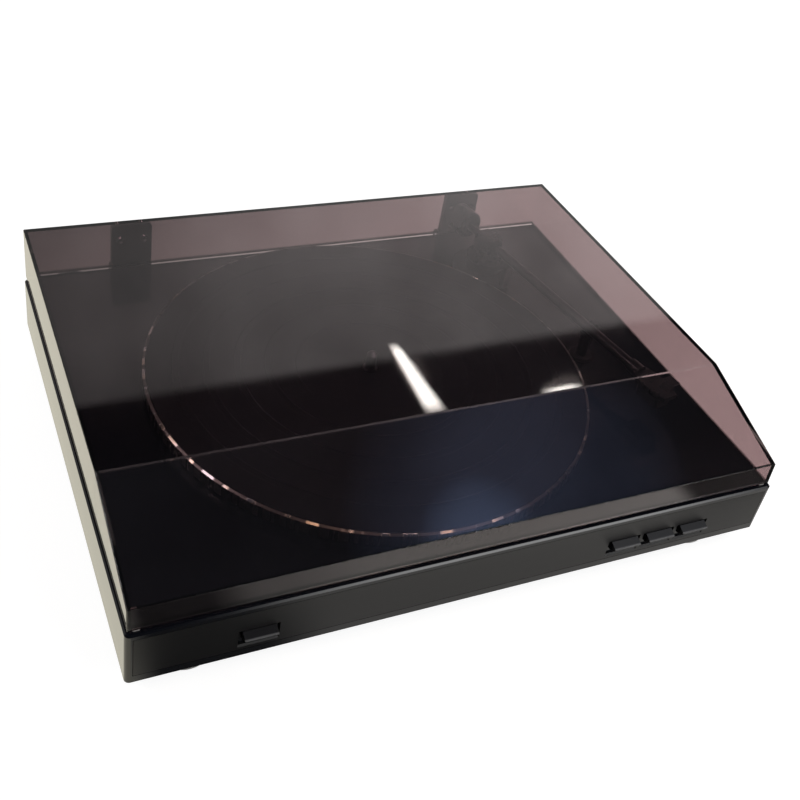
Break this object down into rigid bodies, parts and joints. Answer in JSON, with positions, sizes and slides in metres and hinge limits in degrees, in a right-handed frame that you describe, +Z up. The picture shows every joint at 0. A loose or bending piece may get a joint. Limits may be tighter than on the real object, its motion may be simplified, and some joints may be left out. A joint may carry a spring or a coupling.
{
  "type": "record player",
  "caption": "low black belt drive record player with a smoked hinged dust cover, a front lip of push keys, platter, tonearm and a tied mains lead",
  "frame": {"origin": "on the table, under the middle of the player without its mains lead", "axes": "+X to the right seen from the front, +Y to the rear, +Z up"},
  "size_m": [0.42, 0.3801, 0.093],
  "materials": {
    "cabinet_black": "satin moulded black",
    "panel_black": "satin black lacquer",
    "inner_black": "plain moulded black",
    "rubber_black": "matt rubber",
    "smoked_acrylic": "polished smoked acrylic",
    "clear_pad": "soft clear rubber",
    "steel": "plated steel",
    "alloy": "turned aluminium",
    "key_black": "gloss black",
    "brass": "turned brass",
    "board_green": "solder masked laminate",
    "core_steel": "varnished laminations",
    "nickel": "nickel plated",
    "cord_black": "soft black sheath"
  },
  "bodies": {
    "base": {"cabinet": "cabinet_black", "bottom_cover": "inner_black", "bottom_cover_screws": "steel", "foot_front_left": "inner_black", "foot_front_right": "inner_black", "foot_rear_left": "inner_black", "foot_rear_right": "inner_black", "foot_pads": "rubber_black", "foot_screws": "steel", "front_panel": "panel_black", "speed_switch_board": "board_green", "function_switch_board": "board_green", "hinge_bracket_left": "inner_black", "hinge_bracket_right": "inner_black", "hinge_pin_left": "steel", "hinge_pin_right": "steel", "hinge_bracket_screws": "steel", "bearing_bush": "brass", "thrust_cap": "inner_black", "motor": "steel", "motor_screws": "steel", "drive_belt": "rubber_black", "arm_base": "inner_black", "arm_rest": "inner_black", "main_board": "board_green", "transformer": "core_steel", "socket_plate": "inner_black", "phono_sockets": "nickel", "earth_terminal": "nickel", "mains_strain_relief": "cord_black", "mains_lead": "cord_black", "mains_hank": "cord_black", "cord_ties": "cord_black", "mains_plug": "cord_black", "plug_pins": "nickel"},
    "cover": {"dust_cover": "smoked_acrylic", "lid_pads": "clear_pad", "hinge_arm_left": "inner_black", "hinge_arm_right": "inner_black", "hinge_arm_screws": "steel"},
    "turntable": {"platter": "alloy", "platter_mat": "rubber_black", "spindle": "steel"},
    "pulley": {"motor_pulley": "brass"},
    "arm_turret": {"arm_yoke": "inner_black"},
    "tonearm": {"arm_pivot_block": "inner_black", "arm_tube": "alloy", "counterweight": "nickel", "headshell": "inner_black", "cartridge": "inner_black", "stylus": "key_black"},
    "lifter": {"arm_lifter": "rubber_black"},
    "speed_button": {"speed_key": "key_black"},
    "start_button": {"start_key": "key_black"},
    "stop_button": {"stop_key": "key_black"},
    "lift_button": {"lift_key": "key_black"}
  },
  "joints": [
    {"name": "cover_hinge", "type": "hinge", "parent": "base", "child": "cover", "pos_m": [0, 0.164, 0.048], "axis": [-1, 0, 0], "range_deg": [0, 65]},
    {"name": "platter_spin", "type": "hinge", "parent": "base", "child": "turntable", "pos_m": [-0.011, -0.0035, 0.06], "axis": [0, 0, 1], "continuous": true},
    {"name": "pulley_spin", "type": "hinge", "parent": "base", "child": "pulley", "pos_m": [-0.10139, 0.07235, 0.056], "axis": [0, 0, 1], "continuous": true},
    {"name": "arm_swing", "type": "hinge", "parent": "base", "child": "arm_turret", "pos_m": [0.132, 0.1045, 0.0775], "axis": [0, 0, -1], "range_deg": [0, 44]},
    {"name": "arm_lift", "type": "hinge", "parent": "arm_turret", "child": "tonearm", "pos_m": [0.132, 0.1045, 0.0775], "axis": [-0.9848, -0.1736, 0], "range_deg": [0, 1.3]},
    {"name": "lifter_slide", "type": "slide", "parent": "base", "child": "lifter", "axis": [0, 0, 1], "range_m": [0, 0.0006]},
    {"name": "speed_press", "type": "slide", "parent": "base", "child": "speed_button", "axis": [0, 1, 0], "range_m": [0, 0.0025], "stiffness_N_per_m": 300},
    {"name": "start_press", "type": "slide", "parent": "base", "child": "start_button", "axis": [0, 1, 0], "range_m": [0, 0.0025], "stiffness_N_per_m": 300},
    {"name": "stop_press", "type": "slide", "parent": "base", "child": "stop_button", "axis": [0, 1, 0], "range_m": [0, 0.0025], "stiffness_N_per_m": 300},
    {"name": "lift_press", "type": "slide", "parent": "base", "child": "lift_button", "axis": [0, 1, 0], "range_m": [0, 0.0025], "stiffness_N_per_m": 300}
  ],
  "couplings": [
    {"joint": "pulley_spin", "follows": "platter_spin", "ratio": 18.5},
    {"joint": "arm_lift", "follows": "lifter_slide", "rad_per_m": 37}
  ]
}
